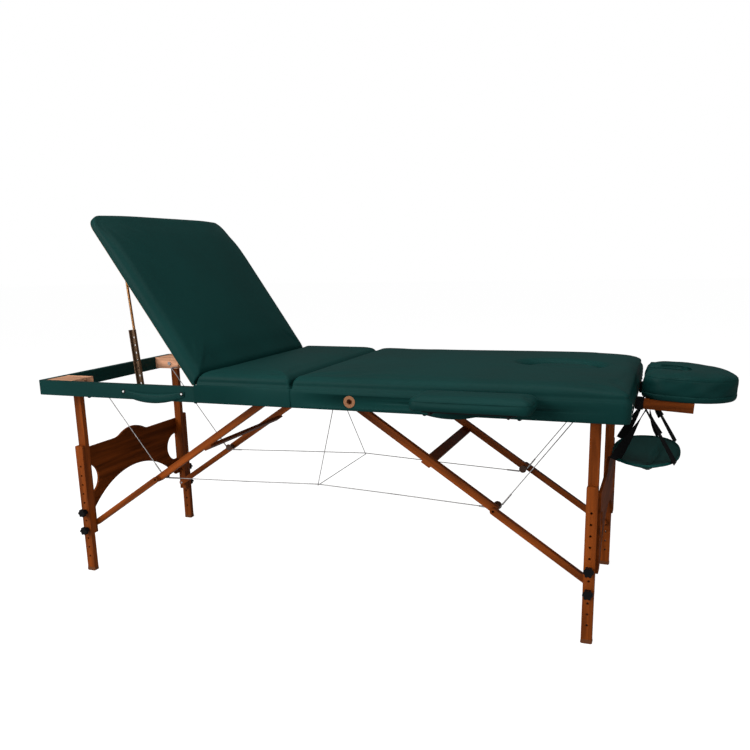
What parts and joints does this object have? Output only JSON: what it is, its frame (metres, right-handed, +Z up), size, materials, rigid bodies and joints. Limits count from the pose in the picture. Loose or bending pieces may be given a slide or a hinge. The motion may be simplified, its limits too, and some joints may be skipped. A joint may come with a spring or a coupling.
{
  "type": "folding massage table",
  "caption": "Portable wooden massage table in padded sections with a raised backrest, headrest, arm sling, side armrests, cable-braced folding legs and height-adjustable feet.",
  "frame": {"origin": "on the floor under the middle of the overall box", "axes": "+X along the table towards the headrest, -Y the side with the carrying handles, +Z up"},
  "size_m": [2.115, 1.0006, 1.1951],
  "materials": {
    "green_vinyl": "satin grained vinyl",
    "sling_vinyl": "satin vinyl",
    "webbing": "woven",
    "plywood": "plain plywood",
    "bare_wood": "unfinished",
    "steel": "zinc plated",
    "brassed_steel": "passivated",
    "dark_steel": "dark painted",
    "cable": "stranded",
    "grommet_plastic": "brown",
    "stained_beech": "stained and lacquered",
    "stained_panel": "stained and lacquered",
    "black_rubber": "matte",
    "black_plastic": "matte"
  },
  "bodies": {
    "left_frame": {"left_side_rails": "green_vinyl", "left_cross_rails": "green_vinyl", "left_corner_blocks": "bare_wood", "seat_deck": "plywood", "seat_cushion": "green_vinyl", "left_handle": "green_vinyl", "left_fittings": "steel", "left_hinge_leaves": "steel", "support_cables": "cable"},
    "backrest": {"backrest_deck": "plywood", "backrest_cushion": "green_vinyl", "backrest_hinges": "steel"},
    "prop_rods": {"prop_rods": "brassed_steel"},
    "prop_channels": {"prop_channels": "dark_steel"},
    "right_frame": {"right_side_rails": "green_vinyl", "right_cross_rails": "green_vinyl", "right_corner_blocks": "bare_wood", "right_deck": "plywood", "main_cushion": "green_vinyl", "right_handle": "green_vinyl", "right_fittings": "steel", "right_hinge_leaves": "steel", "grommets": "grommet_plastic"},
    "face_plug": {"face_plug": "green_vinyl"},
    "headrest": {"headrest_frame": "stained_beech", "headrest_cushion": "green_vinyl"},
    "sling": {"sling_pad": "sling_vinyl", "sling_straps": "webbing"},
    "near_armrest": {"near_armrest_pad": "green_vinyl", "near_armrest_bracket": "dark_steel"},
    "far_armrest": {"far_armrest_pad": "green_vinyl", "far_armrest_bracket": "dark_steel"},
    "left_legs": {"left_upper_legs": "stained_beech", "left_end_panel": "stained_panel", "left_leg_bolts": "steel"},
    "left_upper_brace": {"left_upper_braces": "stained_beech", "left_knuckle_bolts": "steel"},
    "left_lower_brace": {"left_lower_braces": "stained_beech"},
    "right_legs": {"right_upper_legs": "stained_beech", "right_end_panel": "stained_panel", "right_leg_bolts": "steel"},
    "right_upper_brace": {"right_upper_braces": "stained_beech", "right_knuckle_bolts": "steel"},
    "right_lower_brace": {"right_lower_braces": "stained_beech"},
    "right_near_lower_leg": {"right_near_lower_leg": "stained_beech", "right_near_foot": "black_rubber"},
    "right_near_lower_knob": {"right_near_lower_knob": "black_plastic"},
    "right_near_upper_knob": {"right_near_upper_knob": "black_plastic"},
    "right_far_lower_leg": {"right_far_lower_leg": "stained_beech", "right_far_foot": "black_rubber"},
    "right_far_lower_knob": {"right_far_lower_knob": "black_plastic"},
    "right_far_upper_knob": {"right_far_upper_knob": "black_plastic"},
    "left_near_lower_leg": {"left_near_lower_leg": "stained_beech", "left_near_foot": "black_rubber"},
    "left_near_lower_knob": {"left_near_lower_knob": "black_plastic"},
    "left_near_upper_knob": {"left_near_upper_knob": "black_plastic"},
    "left_far_lower_leg": {"left_far_lower_leg": "stained_beech", "left_far_foot": "black_rubber"},
    "left_far_lower_knob": {"left_far_lower_knob": "black_plastic"},
    "left_far_upper_knob": {"left_far_upper_knob": "black_plastic"}
  },
  "joints": [
    {"name": "table_fold", "type": "hinge", "parent": "left_frame", "child": "right_frame", "pos_m": [-0.1325, 0, 0.626], "axis": [0, 1, 0], "range_deg": [0, 100], "deforming": ["support_cables"]},
    {"name": "right_leg_fold", "type": "hinge", "parent": "right_frame", "child": "right_legs", "pos_m": [0.7055, 0, 0.654], "axis": [0, 1, 0], "range_deg": [0, 90]},
    {"name": "right_upper_brace_fold", "type": "hinge", "parent": "right_frame", "child": "right_upper_brace", "pos_m": [-0.0425, 0, 0.66], "axis": [0, -1, 0], "range_deg": [0, 33.81]},
    {"name": "right_lower_brace_fold", "type": "hinge", "parent": "right_legs", "child": "right_lower_brace", "pos_m": [0.6995, 0, 0.163], "axis": [0, 1, 0], "range_deg": [0, 56.19]},
    {"name": "left_leg_fold", "type": "hinge", "parent": "left_frame", "child": "left_legs", "pos_m": [-0.9705, 0, 0.654], "axis": [0, -1, 0], "range_deg": [0, 90]},
    {"name": "left_upper_brace_fold", "type": "hinge", "parent": "left_frame", "child": "left_upper_brace", "pos_m": [-0.2225, 0, 0.66], "axis": [0, 1, 0], "range_deg": [0, 33.81]},
    {"name": "left_lower_brace_fold", "type": "hinge", "parent": "left_legs", "child": "left_lower_brace", "pos_m": [-0.9645, 0, 0.163], "axis": [0, -1, 0], "range_deg": [0, 56.19]},
    {"name": "backrest_tilt", "type": "hinge", "parent": "left_frame", "child": "backrest", "pos_m": [-0.4545, 0, 0.6788], "axis": [0, -1, 0], "range_deg": [0, 56]},
    {"name": "prop_rod_turn", "type": "hinge", "parent": "backrest", "child": "prop_rods", "pos_m": [-0.70749, 0, 1.0208], "axis": [0, -1, 0], "range_deg": [0, 26.46]},
    {"name": "prop_channel_turn", "type": "hinge", "parent": "left_frame", "child": "prop_channels", "pos_m": [-0.6775, 0, 0.65], "axis": [0, -1, 0], "range_deg": [0, 82.46]},
    {"name": "right_near_leg_slide", "type": "slide", "parent": "right_legs", "child": "right_near_lower_leg", "axis": [0, 0, -1], "range_m": [-0.096, 0.096]},
    {"name": "right_near_lower_knob_turn", "type": "hinge", "parent": "right_legs", "child": "right_near_lower_knob", "pos_m": [0.7055, -0.31, 0.15], "axis": [0, -1, 0], "continuous": true},
    {"name": "right_near_upper_knob_turn", "type": "hinge", "parent": "right_legs", "child": "right_near_upper_knob", "pos_m": [0.7055, -0.31, 0.214], "axis": [0, -1, 0], "continuous": true},
    {"name": "right_far_leg_slide", "type": "slide", "parent": "right_legs", "child": "right_far_lower_leg", "axis": [0, 0, -1], "range_m": [-0.096, 0.096]},
    {"name": "right_far_lower_knob_turn", "type": "hinge", "parent": "right_legs", "child": "right_far_lower_knob", "pos_m": [0.7055, 0.31, 0.15], "axis": [0, 1, 0], "continuous": true},
    {"name": "right_far_upper_knob_turn", "type": "hinge", "parent": "right_legs", "child": "right_far_upper_knob", "pos_m": [0.7055, 0.31, 0.214], "axis": [0, 1, 0], "continuous": true},
    {"name": "left_near_leg_slide", "type": "slide", "parent": "left_legs", "child": "left_near_lower_leg", "axis": [0, 0, -1], "range_m": [-0.096, 0.096]},
    {"name": "left_near_lower_knob_turn", "type": "hinge", "parent": "left_legs", "child": "left_near_lower_knob", "pos_m": [-0.9705, -0.31, 0.15], "axis": [0, -1, 0], "continuous": true},
    {"name": "left_near_upper_knob_turn", "type": "hinge", "parent": "left_legs", "child": "left_near_upper_knob", "pos_m": [-0.9705, -0.31, 0.214], "axis": [0, -1, 0], "continuous": true},
    {"name": "left_far_leg_slide", "type": "slide", "parent": "left_legs", "child": "left_far_lower_leg", "axis": [0, 0, -1], "range_m": [-0.096, 0.096]},
    {"name": "left_far_lower_knob_turn", "type": "hinge", "parent": "left_legs", "child": "left_far_lower_knob", "pos_m": [-0.9705, 0.31, 0.15], "axis": [0, 1, 0], "continuous": true},
    {"name": "left_far_upper_knob_turn", "type": "hinge", "parent": "left_legs", "child": "left_far_upper_knob", "pos_m": [-0.9705, 0.31, 0.214], "axis": [0, 1, 0], "continuous": true},
    {"name": "headrest_pull", "type": "slide", "parent": "right_frame", "child": "headrest", "axis": [1, 0, 0], "range_m": [0, 0.12]},
    {"name": "sling_swing", "type": "hinge", "parent": "headrest", "child": "sling", "pos_m": [0.8225, 0, 0.6264], "axis": [0, -1, 0], "range_deg": [-8, 15]},
    {"name": "face_plug_lift", "type": "slide", "parent": "right_frame", "child": "face_plug", "axis": [0, 0, 1], "range_m": [0, 0.08]},
    {"name": "near_armrest_pull", "type": "slide", "parent": "right_frame", "child": "near_armrest", "axis": [0, -1, 0], "range_m": [0, 0.06]},
    {"name": "far_armrest_pull", "type": "slide", "parent": "right_frame", "child": "far_armrest", "axis": [0, 1, 0], "range_m": [0, 0.06]}
  ],
  "couplings": [
    {"joint": "right_upper_brace_fold", "follows": "right_leg_fold", "ratio": 0.37572},
    {"joint": "right_lower_brace_fold", "follows": "right_leg_fold", "ratio": 0.62428},
    {"joint": "left_upper_brace_fold", "follows": "left_leg_fold", "ratio": 0.37572},
    {"joint": "left_lower_brace_fold", "follows": "left_leg_fold", "ratio": 0.62428},
    {"joint": "prop_rod_turn", "follows": "backrest_tilt", "ratio": 0.47243},
    {"joint": "prop_channel_turn", "follows": "backrest_tilt", "ratio": 1.4724}
  ]
}
